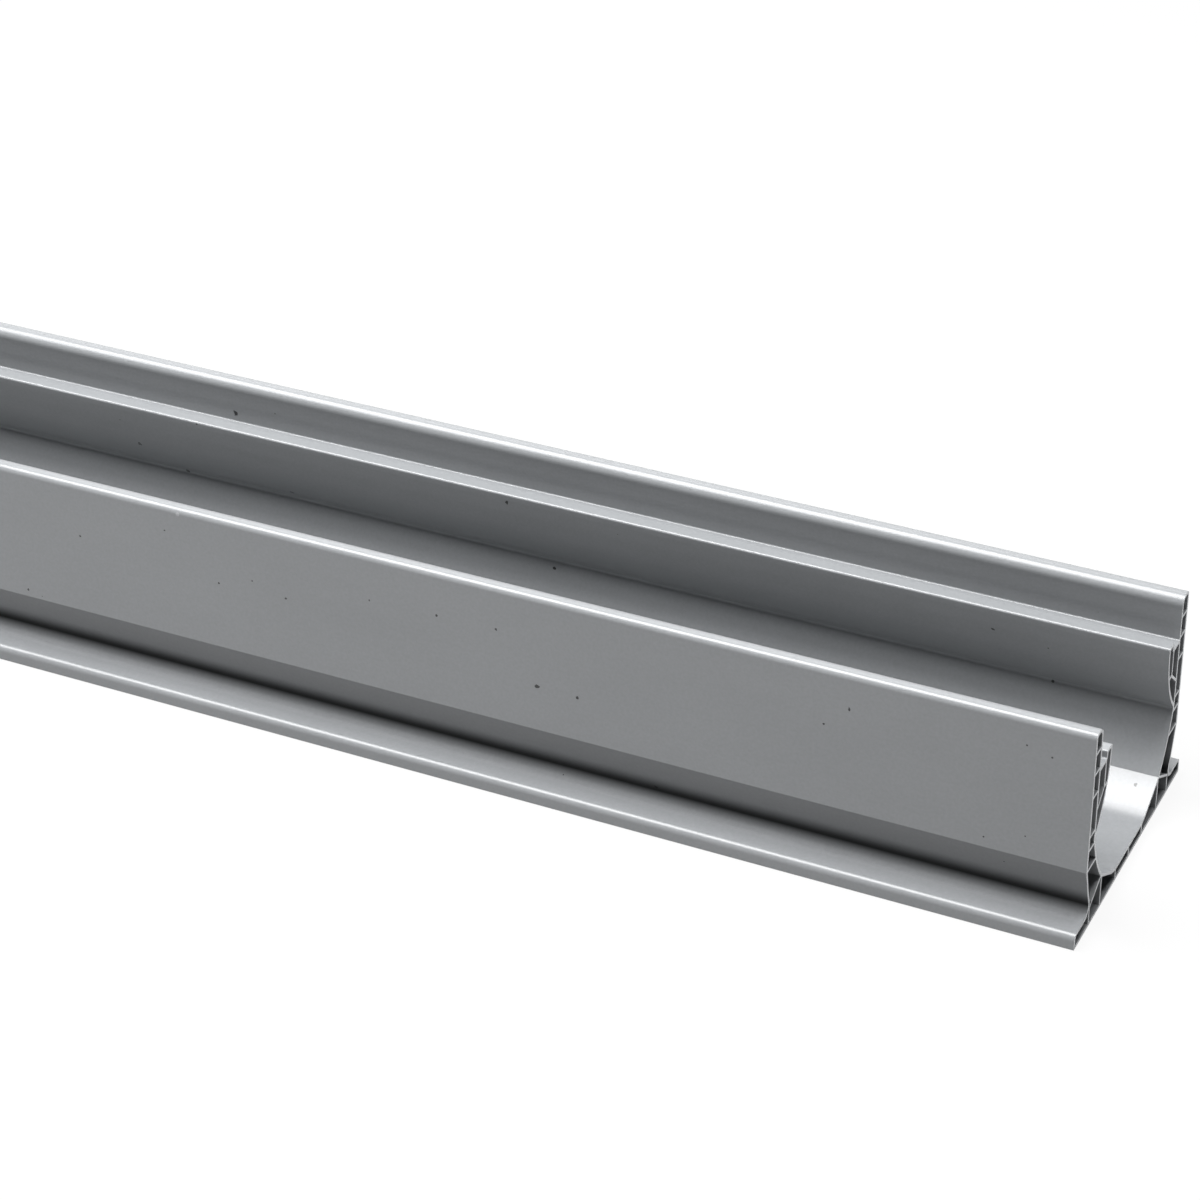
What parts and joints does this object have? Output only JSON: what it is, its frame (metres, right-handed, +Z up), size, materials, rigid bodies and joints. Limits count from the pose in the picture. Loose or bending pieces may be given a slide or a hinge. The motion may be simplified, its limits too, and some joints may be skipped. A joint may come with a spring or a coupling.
{
  "type": "channel drain",
  "caption": "Straight grey plastic channel drain with hollow multi-chamber walls, a recess with seats for a grate and a flange along each foot",
  "frame": {"origin": "centre of the underside, halfway along the length", "axes": "X runs along the channel, Y across it, Z up; the sawn end that the picture shows is at +X and the wall nearer to the camera is at -Y"},
  "size_m": [1, 0.16, 0.113],
  "materials": {
    "channel": "glossy extruded rigid PVC in neutral grey"
  },
  "bodies": {
    "root": {"channel": "channel"}
  },
  "joints": []
}
